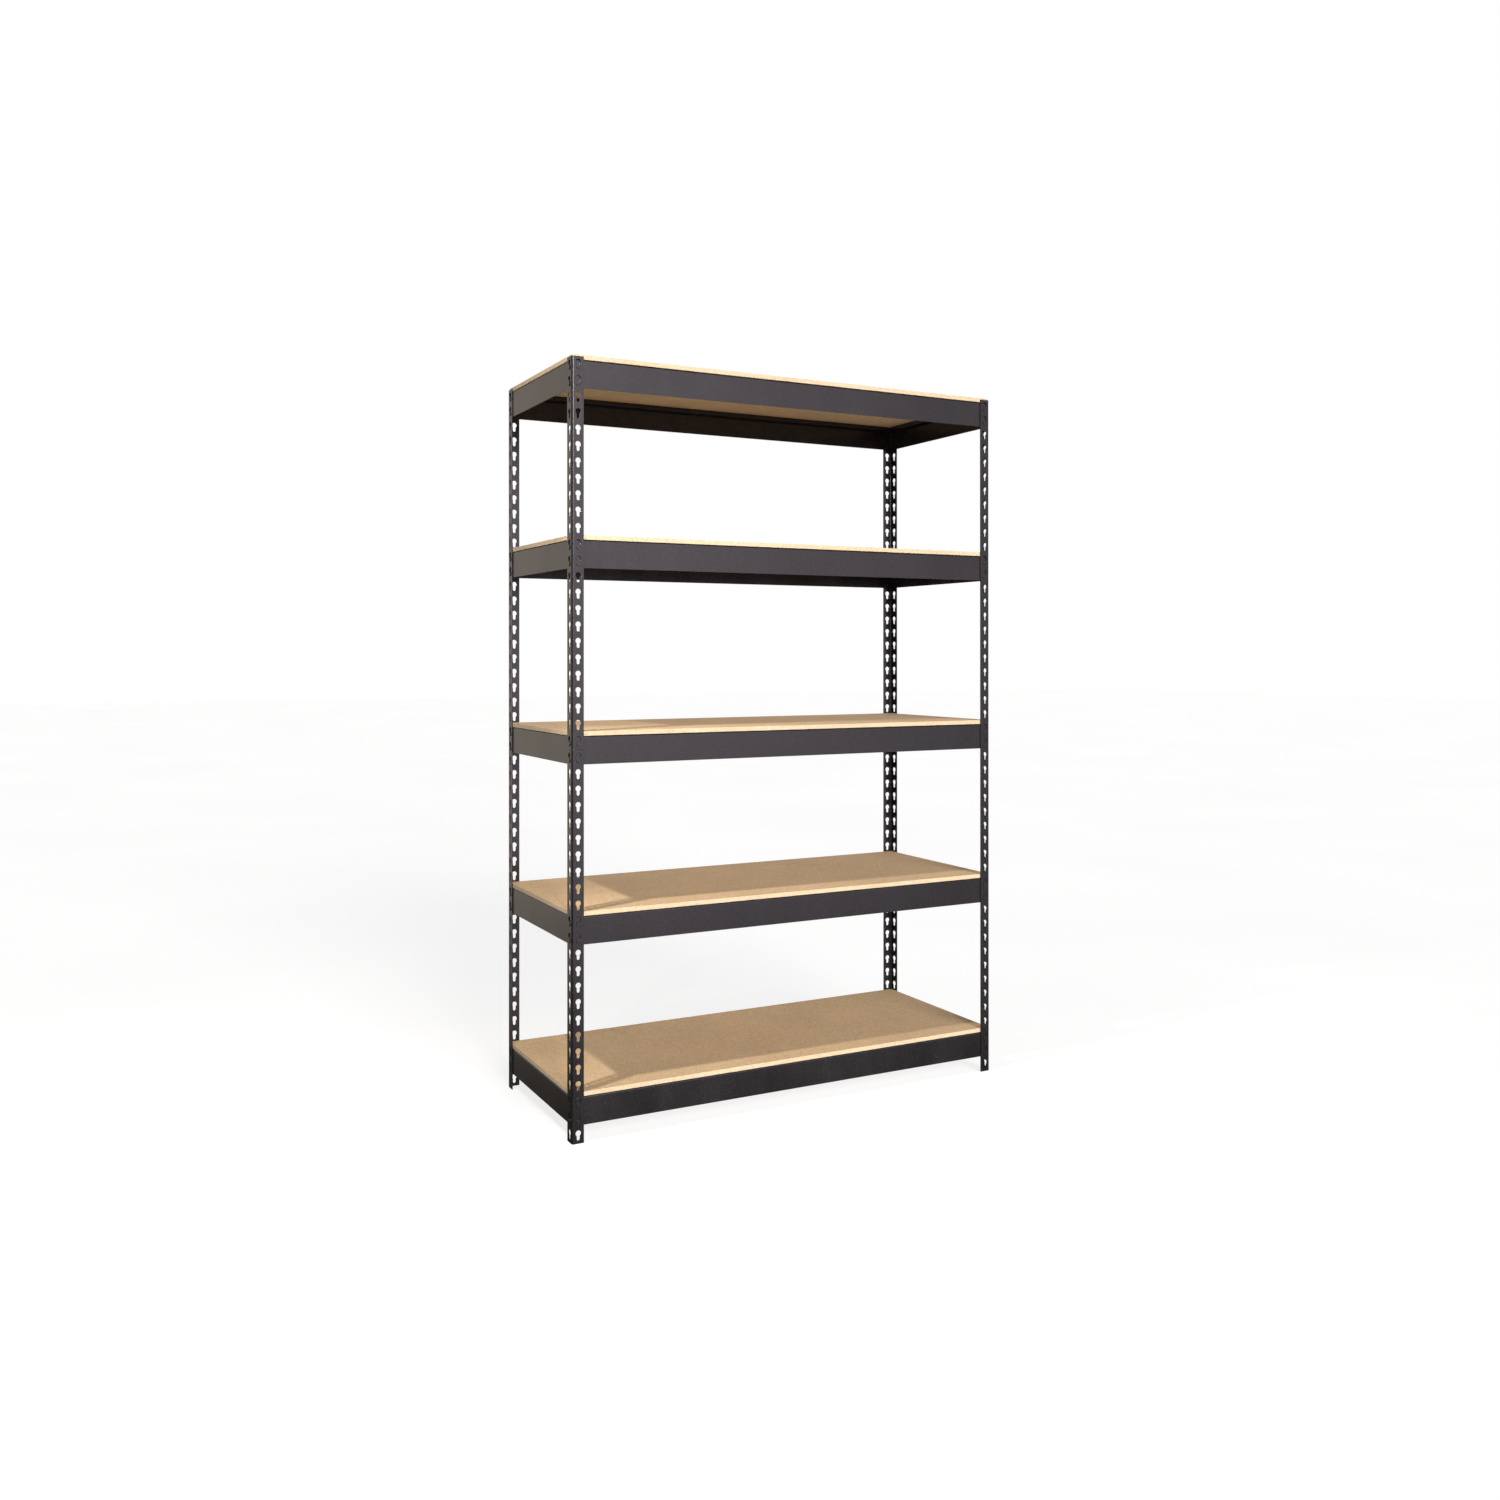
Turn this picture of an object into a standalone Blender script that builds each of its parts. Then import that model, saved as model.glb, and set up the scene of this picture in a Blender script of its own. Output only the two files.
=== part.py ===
"""Boltless steel shelving unit, five levels.

Four slotted angle posts, each in two halves, carry rivet beams that drop into keyholes.
A loose particle board lies on the ledges of the four beams of each level.

Frame: X to the right along the front, Y into the depth, Z up, origin on the floor under the centre.
All lengths are in metres.
"""
import math

import bpy
import bmesh
from mathutils import Matrix, Vector

# Driving dimensions of the whole unit, over the outsides of the posts
WIDTH = 1.2192
DEPTH = 0.4572
HEIGHT = 1.8288
GAP = 0.0003                    # air between two pieces that touch

# Corner posts: bent steel angle, in two halves
POST_LEG = 0.030
POST_STEEL = 0.002
POST_BEND = 0.005               # outside radius of the fold
HALF_POST = (HEIGHT - GAP) / 2

# Keyholes, punched in both legs of a post
SLOT_PITCH = 0.0381
SLOTS_PER_HALF = 24
SLOT_INSET = 0.016              # from the post's outer corner to the row of keyholes
HOLE_RADIUS = 0.0068
HOLE_RISE = 0.0050              # hole centre above the keyhole's middle
STEM_HALF_WIDTH = 0.0038
STEM_DROP = 0.0118              # end of the stem below the keyhole's middle
HOLE_POINTS = 6

# Beams: a face with a ledge turned inward along its top, and a lip turned down on the ledge
BEAM_STEEL = 0.0015
BEAM_ABOVE = 0.0311             # top of the ledge above the middle of a level
BEAM_BELOW = 0.0352             # bottom of the face below the middle of a level
BEAM_BEND = 0.004
LEDGE = 0.019
LIP = 0.012
BEAM_SETBACK = 0.008            # from the unit's outer side to the end of a beam's face
NOTCH_AIR = 0.001               # air between the ledges of two beams at a corner
NOTCH_FACE = 0.005              # what is left of the ledge beside a beam's face at its ends

# Rivets, two at each end of a beam
SHANK_RADIUS = 0.0032
HEAD_RADIUS = 0.0055
HEAD_THICKNESS = 0.0016
RIVET_DROP = 0.0061             # rivet centre below the keyhole's middle
RIVET_SIDES = 6

# Boards
BOARD_TOP = 0.0420              # top of a board above the middle of its level
BOARD_CORNER = 0.0030           # what is cut off each corner, to clear the fold of a post

# The upper of the two keyholes that each level hooks into, counted down from the top of a post,
# from the lowest level to the highest
LEVEL_KEYHOLES = (46, 35, 24, 12, 1)

BLACK_STEEL = {"colour": (0.045, 0.043, 0.046, 1.0), "metallic": 0.0, "roughness": 0.42}
PARTICLE_BOARD = {"colour": (0.60, 0.44, 0.29, 1.0), "metallic": 0.0, "roughness": 0.80}

SKIN = POST_STEEL + GAP         # from the unit's outer side to the outer side of a beam's face
QUARTER = math.pi / 2


def clear_scene():
    for obj in list(bpy.data.objects):
        bpy.data.objects.remove(obj, do_unlink=True)


def new_collection(name):
    collection = bpy.data.collections.new(name)
    bpy.context.scene.collection.children.link(collection)
    return collection


def make_material(name, finish):
    material = bpy.data.materials.new(name)
    material.use_nodes = True
    shader = material.node_tree.nodes["Principled BSDF"]
    shader.inputs["Base Color"].default_value = finish["colour"]
    shader.inputs["Metallic"].default_value = finish["metallic"]
    shader.inputs["Roughness"].default_value = finish["roughness"]
    return material


def bent_sheet(corners, thickness, radius, steps=2):
    """Outline of a sheet folded at right angles, always to the right.

    corners are the sharp corners of its outer side, in order. Each fold becomes an arc of the given
    outside radius in that many steps, and the inner side runs one thickness inside it.
    """
    outer = []
    inner = []
    points = [Vector(corner) for corner in corners]
    for index, point in enumerate(points):
        if index == 0 or index == len(points) - 1:
            along = (points[1] - points[0]) if index == 0 else (points[-1] - points[-2])
            along.normalize()
            outer.append(point)
            inner.append(point + thickness * Vector((along.y, -along.x)))
            continue
        arriving = (point - points[index - 1]).normalized()
        leaving = (points[index + 1] - point).normalized()
        centre = point + radius * (leaving - arriving)
        for step in range(steps + 1):
            turn = QUARTER * step / steps
            spoke = math.sin(turn) * arriving - math.cos(turn) * leaving
            outer.append(centre + radius * spoke)
            inner.append(centre + (radius - thickness) * spoke)
    return outer + inner[::-1]


def keyhole():
    """Outline of a keyhole about its middle: a round hole above, running into a straight stem below."""
    first = -math.acos(STEM_HALF_WIDTH / HOLE_RADIUS)
    last = math.pi - first
    outline = []
    for index in range(HOLE_POINTS):
        angle = first + (last - first) * index / (HOLE_POINTS - 1)
        outline.append(Vector((HOLE_RADIUS * math.cos(angle), HOLE_RISE + HOLE_RADIUS * math.sin(angle))))
    outline.append(Vector((-STEM_HALF_WIDTH, -STEM_DROP)))
    outline.append(Vector((STEM_HALF_WIDTH, -STEM_DROP)))
    return outline


def clipped_rectangle(width, depth, clip):
    """Outline of a rectangle about the origin with its corners cut off."""
    outline = []
    for side_x, side_y in ((1, -1), (1, 1), (-1, 1), (-1, -1)):
        corner = Vector((side_x * width / 2, side_y * depth / 2))
        before = corner - Vector((side_x * clip, 0))
        after = corner - Vector((0, side_y * clip))
        outline += [before, after] if side_x * side_y < 0 else [after, before]
    return outline


def prism(name, outline, length):
    """A filled outline in XY, extruded along Z by its whole length about the middle, as a mesh."""
    curve = bpy.data.curves.new(name, "CURVE")
    curve.dimensions = "2D"
    curve.fill_mode = "BOTH"
    curve.extrude = length / 2
    spline = curve.splines.new("POLY")
    spline.points.add(len(outline) - 1)
    for point, place in zip(spline.points, outline):
        point.co = (place.x, place.y, 0.0, 1.0)
    spline.use_cyclic_u = True
    obj = bpy.data.objects.new(name, curve)
    bpy.context.scene.collection.objects.link(obj)
    mesh = evaluated_mesh(obj, name)
    bpy.data.objects.remove(obj, do_unlink=True)
    bpy.data.curves.remove(curve)
    edit_mesh(mesh, lambda shape: bmesh.ops.remove_doubles(shape, verts=shape.verts, dist=1e-6))
    return mesh


def turned(name, profile, sides):
    """A solid of revolution about Y from a profile of (radius, y), closed at both ends."""
    mesh = bpy.data.meshes.new(name)
    mesh.from_pydata([(radius, place, 0.0) for radius, place in profile],
                     [(index, index + 1) for index in range(len(profile) - 1)], [])
    obj = bpy.data.objects.new(name, mesh)
    bpy.context.scene.collection.objects.link(obj)
    screw = obj.modifiers.new("turn", "SCREW")
    screw.axis = "Y"
    screw.steps = sides
    screw.render_steps = sides
    screw.use_merge_vertices = True
    screw.merge_threshold = 0.00001
    solid = evaluated_mesh(obj, name + "_solid")
    bpy.data.objects.remove(obj, do_unlink=True)
    edit_mesh(solid, lambda shape: bmesh.ops.recalc_face_normals(shape, faces=shape.faces))
    return solid


def evaluated_mesh(obj, name):
    """The mesh that an object's curve or modifiers come to, in the object's own axes."""
    bpy.context.view_layer.update()
    graph = bpy.context.evaluated_depsgraph_get()
    mesh = bpy.data.meshes.new_from_object(obj.evaluated_get(graph), depsgraph=graph)
    mesh.name = name
    return mesh


def edit_mesh(mesh, change):
    shape = bmesh.new()
    shape.from_mesh(mesh)
    change(shape)
    shape.to_mesh(mesh)
    shape.free()


def place_tool(name, mesh, placing, collection):
    """A cutter or an addition for a Boolean, never shown."""
    tool = bpy.data.objects.new(name, mesh)
    tool.matrix_world = placing
    tool.display_type = "WIRE"
    tool.hide_render = True
    collection.objects.link(tool)
    return tool


def combined(name, base, tools, operation):
    """The base mesh cut by, or joined with, each tool in turn."""
    obj = bpy.data.objects.new(name, base)
    bpy.context.scene.collection.objects.link(obj)
    for tool in tools:
        step = obj.modifiers.new(tool.name, "BOOLEAN")
        step.operation = operation
        step.solver = "EXACT"
        step.object = tool
    mesh = evaluated_mesh(obj, name + "_mesh")
    bpy.data.objects.remove(obj, do_unlink=True)
    return mesh


def half_post_mesh(tools):
    """Half a post, standing on the origin with its outer corner there and its legs along +X and +Y."""
    outline = bent_sheet([(POST_LEG, 0), (0, 0), (0, POST_LEG)], POST_STEEL, POST_BEND, steps=3)
    post = prism("half_post", outline, HALF_POST)
    post.transform(Matrix.Translation((0, 0, HALF_POST / 2)))

    punch = prism("keyhole_punch", keyhole(), 4 * POST_STEEL)
    first_slot = Matrix.Translation((SLOT_INSET, 0, SLOT_PITCH / 2)) @ Matrix.Rotation(QUARTER, 4, "X")
    swap_legs = Matrix.Rotation(QUARTER, 4, "Z")
    punches = []
    for name, turn in (("punch_front_leg", Matrix.Identity(4)), ("punch_side_leg", swap_legs)):
        tool = place_tool(name, punch, turn @ first_slot, tools)
        row = tool.modifiers.new("row", "ARRAY")
        row.count = SLOTS_PER_HALF
        row.use_relative_offset = False
        row.use_constant_offset = True
        row.constant_offset_displace = (0, SLOT_PITCH, 0)
        punches.append(tool)
    return combined("half_post", post, punches, "DIFFERENCE")


def rivet_mesh():
    """A rivet along Y, rooted in a beam's face whose outer side is at Y = 0, with its head at -Y."""
    under_head = -(POST_STEEL + 2 * GAP)
    root = BEAM_STEEL / 2
    profile = [(0, under_head - HEAD_THICKNESS),
               (HEAD_RADIUS, under_head - HEAD_THICKNESS),
               (HEAD_RADIUS, under_head),
               (SHANK_RADIUS, under_head),
               (SHANK_RADIUS, root),
               (0, root)]
    return turned("rivet", profile, RIVET_SIDES)


def beam_mesh(name, span, rivet, tools):
    """A beam along X for posts that are span apart outside.

    The outer side of its face is at Y = 0 and its ledge points to +Y, with the middle of its level at Z = 0.
    """
    outline = bent_sheet([(0, -BEAM_BELOW), (0, BEAM_ABOVE), (LEDGE, BEAM_ABOVE), (LEDGE, BEAM_ABOVE - LIP)],
                         BEAM_STEEL, BEAM_BEND)
    length = span - 2 * BEAM_SETBACK
    sheet = prism(name + "_sheet", outline, length)
    sheet.transform(Matrix(((0, 0, 1, 0), (1, 0, 0, 0), (0, 1, 0, 0), (0, 0, 0, 1))))

    ledge_end = span / 2 - SKIN - LEDGE - NOTCH_AIR
    notch_length = 2 * (span / 2 - ledge_end)
    notches = []
    for side in (-1, 1):
        block = bpy.data.meshes.new(name + "_notch")
        edit_mesh(block, lambda shape: bmesh.ops.create_cube(shape, size=1.0))
        block.transform(Matrix.Diagonal((notch_length, 2 * LEDGE, 4 * LIP, 1)))
        place = (side * (ledge_end + notch_length / 2), NOTCH_FACE + LEDGE, BEAM_ABOVE)
        notches.append(place_tool(name + "_notch", block, Matrix.Translation(place), tools))
    sheet = combined(name + "_notched", sheet, notches, "DIFFERENCE")

    rivets = []
    for side in (-1, 1):
        for row in (-0.5, 0.5):
            place = (side * (span / 2 - SLOT_INSET), 0, row * SLOT_PITCH - RIVET_DROP)
            rivets.append(place_tool(name + "_rivet", rivet, Matrix.Translation(place), tools))
    return combined(name, sheet, rivets, "UNION")


def board_mesh():
    """A board centred on the origin in plan, with the middle of its level at Z = 0."""
    bottom = BEAM_ABOVE + GAP
    thickness = BOARD_TOP - bottom
    board = prism("board", clipped_rectangle(WIDTH - 2 * SKIN, DEPTH - 2 * SKIN, BOARD_CORNER), thickness)
    board.transform(Matrix.Translation((0, 0, bottom + thickness / 2)))
    return board


def add_piece(name, mesh, location, turn, material, collection):
    """One piece of the unit, turned about Z and set down at its place."""
    piece = bpy.data.objects.new(name, mesh)
    piece.location = location
    piece.rotation_euler = (0, 0, turn)
    if not mesh.materials:
        mesh.materials.append(material)
    collection.objects.link(piece)
    return piece


def add_posts(mesh, material, collection):
    corners = (("front_left", -1, -1, 0), ("front_right", 1, -1, 1),
               ("rear_right", 1, 1, 2), ("rear_left", -1, 1, 3))
    for corner, side_x, side_y, quarters in corners:
        for half, foot in (("lower", 0), ("upper", HALF_POST + GAP)):
            location = (side_x * WIDTH / 2, side_y * DEPTH / 2, foot)
            add_piece(f"post_{corner}_{half}", mesh, location, quarters * QUARTER, material, collection)


def add_level(number, height, meshes, steel, board, collection):
    front = -(DEPTH / 2 - SKIN)
    left = -(WIDTH / 2 - SKIN)
    add_piece(f"front_beam_{number}", meshes["long"], (0, front, height), 0, steel, collection)
    add_piece(f"rear_beam_{number}", meshes["long"], (0, -front, height), 2 * QUARTER, steel, collection)
    add_piece(f"left_beam_{number}", meshes["short"], (left, 0, height), -QUARTER, steel, collection)
    add_piece(f"right_beam_{number}", meshes["short"], (-left, 0, height), QUARTER, steel, collection)
    add_piece(f"shelf_board_{number}", meshes["board"], (0, 0, height), 0, board, collection)


def main():
    clear_scene()
    unit = new_collection("boltless_shelving")
    tools = new_collection("cutters")
    steel = make_material("black_steel", BLACK_STEEL)
    board = make_material("particle_board", PARTICLE_BOARD)

    rivet = rivet_mesh()
    meshes = {"long": beam_mesh("long_beam", WIDTH, rivet, tools),
              "short": beam_mesh("short_beam", DEPTH, rivet, tools),
              "board": board_mesh()}
    add_posts(half_post_mesh(tools), steel, unit)
    for number, keyhole_number in enumerate(LEVEL_KEYHOLES, start=1):
        add_level(number, HEIGHT - keyhole_number * SLOT_PITCH, meshes, steel, board, unit)


main()
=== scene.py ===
import math

import bmesh
import bpy
from mathutils import Matrix, Vector, noise


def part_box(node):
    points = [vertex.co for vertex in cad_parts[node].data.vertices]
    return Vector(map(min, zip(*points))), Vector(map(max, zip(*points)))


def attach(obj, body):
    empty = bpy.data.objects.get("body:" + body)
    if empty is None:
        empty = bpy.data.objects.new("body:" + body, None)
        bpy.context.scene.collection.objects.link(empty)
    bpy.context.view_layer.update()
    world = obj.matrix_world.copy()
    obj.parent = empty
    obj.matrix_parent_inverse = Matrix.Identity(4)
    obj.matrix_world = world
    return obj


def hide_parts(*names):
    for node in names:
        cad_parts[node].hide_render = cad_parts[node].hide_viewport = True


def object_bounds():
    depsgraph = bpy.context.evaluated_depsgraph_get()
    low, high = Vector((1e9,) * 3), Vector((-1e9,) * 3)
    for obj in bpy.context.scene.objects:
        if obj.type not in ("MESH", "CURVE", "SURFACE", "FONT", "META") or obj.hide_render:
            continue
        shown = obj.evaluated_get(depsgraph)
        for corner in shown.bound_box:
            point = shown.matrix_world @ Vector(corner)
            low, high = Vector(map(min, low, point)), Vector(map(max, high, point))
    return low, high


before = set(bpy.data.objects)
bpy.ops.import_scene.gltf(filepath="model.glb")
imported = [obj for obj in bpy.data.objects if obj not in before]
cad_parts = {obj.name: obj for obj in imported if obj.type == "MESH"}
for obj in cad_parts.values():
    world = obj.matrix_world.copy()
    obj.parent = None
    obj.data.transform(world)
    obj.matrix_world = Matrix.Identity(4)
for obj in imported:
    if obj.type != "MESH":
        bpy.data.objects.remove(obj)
cad_low, cad_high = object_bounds()

# Sheet steel, in metres
POST_STEEL = 0.002
POST_BEND = 0.005
BEAM_STEEL = 0.0015
BEAM_BEND = 0.004
BEAM_ABOVE = 0.0311             # top of the ledge above the middle of a level
BEAM_SETBACK = 0.008            # from the unit's outer side to the end of a beam's face
LEDGE = 0.019                   # from a beam's face in, under the board
LIP = 0.012                     # down from the inner side of the ledge
NOTCH_AIR = 0.001               # between a beam's ledge and a post
WELD = 2e-6                     # points nearer than this are one
CUT_ROUND = 0.0003              # what the press and the paint leave round on every cut edge
BLANK_CORNER = 0.0010           # corner radius of a blank
FOLD_STEPS = 8
AIR = 0.0003                    # between pieces that rest on each other

# Keyholes
SLOT_PITCH = 0.0381
SLOT_INSET = 0.016
HOLE_RADIUS = 0.0068
HOLE_RISE = 0.0050
STEM_HALF_WIDTH = 0.0038
STEM_DROP = 0.0118
HOLE_STEPS = 13
STEM_STEPS = 5

# Rivets
SHANK_RADIUS = 0.0032
HEAD_RADIUS = 0.00545
HEAD_THICKNESS = 0.0016
HEAD_ROUND = 0.0004
UNDER_HEAD_ROUND = 0.0002
TAIL_RADIUS = 0.0042
TAIL_THICKNESS = 0.0011
RIVET_DROP = 0.0061             # from the middle of a keyhole down to its rivet
RIVET_SIDES = 20
RIVET_HOLE_SIDES = 24

# Boards
BOARD_CORNER = 0.0030           # cut off each corner, to clear the fold of a post
BOARD_ARRIS = 0.0004
BOARD_STEP = 0.006              # length of board edge between two points that the saw has chipped
BOARD_CHIP = 0.0007             # how deep a chip breaks out
CHIP_SPACING = 0.011
CHIP_ONSET = 0.18               # how rough the noise has to be before a chip breaks out
CHIP_STEEPNESS = 3.0
SAW_MARKS = 0.1                 # fine roughness between the chips, as a share of a chip
SAW_MARKS_FINENESS = 3.3
LEVEL_SEED = 3.1
ROW_SEED = 0.7

# Black powder coat
STEEL_BLACK = (0.009, 0.008, 0.009)
RIVET_BLACK = (0.010, 0.009, 0.010)
COAT_ROUGHNESS = 0.22
COAT_DUST = (0.20, 0.18, 0.16)
ORANGE_PEEL = 0.0016
PEBBLES = 0.0005
HAZE = 0.09
DUST_SPECKS = 0.0011
COAT_RELIEF = 0.000025

# Particle board: the ground that most chips share, the palest and the darkest chips, open pores,
# the size of a chip and the depth of the relief
FACE_FINISH = {"ground": (0.60, 0.425, 0.245), "pale": (0.76, 0.58, 0.365), "dark": (0.385, 0.245, 0.13),
               "pore": (0.16, 0.10, 0.06), "chip": 0.0042, "relief": 0.00012}
EDGE_FINISH = {"ground": (0.69, 0.54, 0.36), "pale": (0.83, 0.70, 0.50), "dark": (0.48, 0.335, 0.19),
               "pore": (0.20, 0.13, 0.08), "chip": 0.0034, "relief": 0.0004}

# Studio floor
FLOOR_REACH = 30.0
FLOOR_AIR = 0.0005              # between the floor and the feet
FLOOR_GREYS = (0.26, 0.30)
FLOOR_PATCH = 1.3
FLOOR_GLOW = 0.78               # how bright the floor is to look at
FLOOR_BOUNCE = 0.42             # how much light it sends to the unit

# Light round the unit: heading, degrees from it to where it is still full, degrees to where it ends,
# colour, strength
GLOWS = (
    ((0, 0, 1), 0, 180, (0.96, 0.98, 1.0), 0.14),
    ((0.20, -0.96, 0.06), 6, 36, (1.0, 0.89, 0.98), 1.85),
    ((-0.36, 0.93, 0.00), 10, 36, (1.0, 0.86, 0.72), 0.74),
    ((0.75, 0.65, 0.05), 10, 45, (0.95, 0.98, 1.0), 0.7))
# Name, strength, width in degrees and the way it shines
SUNS = (
    ("key", 3.2, 28, (0.0, 0.90, -0.43)),
    ("low_key", 0.8, 12, (0.137, 0.97, -0.22)))
SUN_COLOUR = (1.0, 0.98, 0.95)
# How the light round the unit fades downwards: height of a ray's heading where it is dimmest and where
# it is still full, then how bright it is at each
GROUND_FALL = (-0.32, -0.16, 0.08, 1.0)
# Kind, strength and aim of the two parts of the lamp overhead: one all round, one a cone to the front right
CEILING_LAMPS = (("AREA", 16, (0, 0, -1)), ("SPOT", 72, (0.50, -0.50, -0.62)))
LAMP_PLACE = (-1.39, -0.52, 2.25)
LAMP_COLOUR = (1.0, 0.95, 0.90)
LAMP_SIZE = 0.09
CONE_WIDTH = 102                # degrees
CONE_SOFTNESS = 0.23

# Camera: a normal lens a little above mid-height, from the front left
CAMERA_PLACE = (-1.7143, -3.0547, 1.1357)
CAMERA_TURN = (90.075, 0.02, -26.396)
CAMERA_LENS = 31.325
CAMERA_SHIFT = (0.04195, -0.06495)

SKIN = POST_STEEL + AIR
QUARTER = math.pi / 2
LEVELS = range(1, 6)
CORNERS = {"front_left": 0, "front_right": 1, "rear_right": 2, "rear_left": 3}
SIDES = {"front": 0, "right": 1, "rear": 2, "left": 3}


# ---------------------------------------------------------------- shader nodes

def new_material(name):
    material = bpy.data.materials.new(name)
    material.use_nodes = True
    return material, material.node_tree, material.node_tree.nodes["Principled BSDF"]


def object_place(tree, stretch=(1, 1, 1)):
    """Object coordinates, stretched for a pattern."""
    place = tree.nodes.new("ShaderNodeTexCoord")
    mapping = tree.nodes.new("ShaderNodeMapping")
    mapping.inputs["Scale"].default_value = stretch
    tree.links.new(place.outputs["Object"], mapping.inputs["Vector"])
    return mapping.outputs["Vector"]


def pattern(tree, kind, place, **inputs):
    """A texture node at a place, with its other inputs set by name."""
    node = tree.nodes.new("ShaderNodeTex" + kind)
    for name, value in inputs.items():
        node.inputs[name.title()].default_value = value
    tree.links.new(place, node.inputs["Vector"])
    return node


def noise_of(tree, place, size, detail=3.0, roughness=0.5):
    """Soft noise whose blotches are about size across."""
    node = pattern(tree, "Noise", place, scale=1.0 / size, detail=detail, roughness=roughness)
    return node.outputs["Fac"]


def cells_of(tree, place, size):
    """Three random numbers for each cell of a pattern whose cells are about size across."""
    cells = pattern(tree, "Voronoi", place, scale=1.0 / size)
    split = tree.nodes.new("ShaderNodeSeparateColor")
    tree.links.new(cells.outputs["Color"], split.inputs["Color"])
    return split.outputs


def spread(tree, value, low, high, to_low=0.0, to_high=1.0):
    """Takes low..high of a value to to_low..to_high, and holds it there outside."""
    node = tree.nodes.new("ShaderNodeMapRange")
    for name, number in (("From Min", low), ("From Max", high), ("To Min", to_low), ("To Max", to_high)):
        node.inputs[name].default_value = number
    tree.links.new(value, node.inputs["Value"])
    return node.outputs["Result"]


def ramp(tree, value, stops):
    """A colour ramp with (place, colour) stops."""
    node = tree.nodes.new("ShaderNodeValToRGB")
    elements = node.color_ramp.elements
    while len(elements) < len(stops):
        elements.new(0.5)
    for element, (place, colour) in zip(elements, stops):
        element.position = place
        element.color = (*colour, 1.0)
    tree.links.new(value, node.inputs["Fac"])
    return node.outputs["Color"]


def blend_colours(tree, amount, first, second, kind="MIX"):
    """Mixes two colours; each may be a socket or a colour, and the amount a socket or a number."""
    node = tree.nodes.new("ShaderNodeMix")
    node.data_type = "RGBA"
    node.blend_type = kind
    for socket, value in ((node.inputs["Factor"], amount), (node.inputs[6], first), (node.inputs[7], second)):
        if isinstance(value, bpy.types.NodeSocket):
            tree.links.new(value, socket)
        elif isinstance(value, tuple):
            socket.default_value = (*value, 1.0)
        else:
            socket.default_value = value
    return node.outputs[2]


def sum_of(tree, *parts):
    """The sum of (socket, weight) parts."""
    total = None
    for socket, weight in parts:
        node = tree.nodes.new("ShaderNodeMath")
        node.operation = "MULTIPLY_ADD"
        node.inputs[1].default_value = weight
        node.inputs[2].default_value = 0.0
        tree.links.new(socket, node.inputs[0])
        if total is not None:
            tree.links.new(total, node.inputs[2])
        total = node.outputs[0]
    return total


def raise_surface(tree, shader, height, depth):
    """Bumps a shader by a height in 0..1 that stands for depth metres."""
    bump = tree.nodes.new("ShaderNodeBump")
    bump.inputs["Strength"].default_value = 1.0
    bump.inputs["Distance"].default_value = depth
    tree.links.new(height, bump.inputs["Height"])
    tree.links.new(bump.outputs["Normal"], shader.inputs["Normal"])


def seen_and_sent(tree, seen, sent, result):
    """Shows the camera one shader and sends every other ray another."""
    rays = tree.nodes.new("ShaderNodeLightPath")
    mix = tree.nodes.new("ShaderNodeMixShader")
    tree.links.new(rays.outputs["Is Camera Ray"], mix.inputs["Fac"])
    tree.links.new(sent, mix.inputs[1])
    tree.links.new(seen, mix.inputs[2])
    tree.links.new(mix.outputs["Shader"], result.inputs["Surface"])


# ---------------------------------------------------------------- finishes

def powder_coat(name, colour):
    """Semi-gloss black powder coat: orange peel, faint handling haze and a little dust."""
    material, tree, shader = new_material(name)
    place = object_place(tree)
    peel = noise_of(tree, place, ORANGE_PEEL, detail=2.0)
    pebble = noise_of(tree, place, PEBBLES, detail=1.0)
    haze = noise_of(tree, object_place(tree, stretch=(1, 1, 0.35)), HAZE, detail=4.0, roughness=0.6)
    dust = spread(tree, noise_of(tree, place, DUST_SPECKS, detail=0.0), 0.70, 0.80)

    tone = tuple(channel * 1.5 for channel in colour)
    shade = blend_colours(tree, spread(tree, haze, 0.35, 0.75), colour, tone)
    dusty = blend_colours(tree, spread(tree, dust, 0.0, 1.0, 0.0, 0.35), shade, COAT_DUST)
    tree.links.new(dusty, shader.inputs["Base Color"])
    worn = spread(tree, haze, 0.3, 0.8, COAT_ROUGHNESS - 0.05, COAT_ROUGHNESS + 0.07)
    tree.links.new(sum_of(tree, (worn, 1.0), (peel, 0.03)), shader.inputs["Roughness"])
    raise_surface(tree, shader, sum_of(tree, (peel, 0.8), (pebble, 0.2)), COAT_RELIEF)
    return material


def wavy_place(tree, place, chip):
    """Pushes a place about, so that the chips are not straight sided."""
    pushed = tree.nodes.new("ShaderNodeVectorMath")
    pushed.operation = "MULTIPLY_ADD"
    pushed.inputs[1].default_value = (chip * 1.5, chip * 1.5, chip * 0.6)
    tree.links.new(noise_of(tree, place, chip * 2.2, detail=2.0), pushed.inputs[0])
    tree.links.new(place, pushed.inputs[2])
    return pushed.outputs["Vector"]


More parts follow.
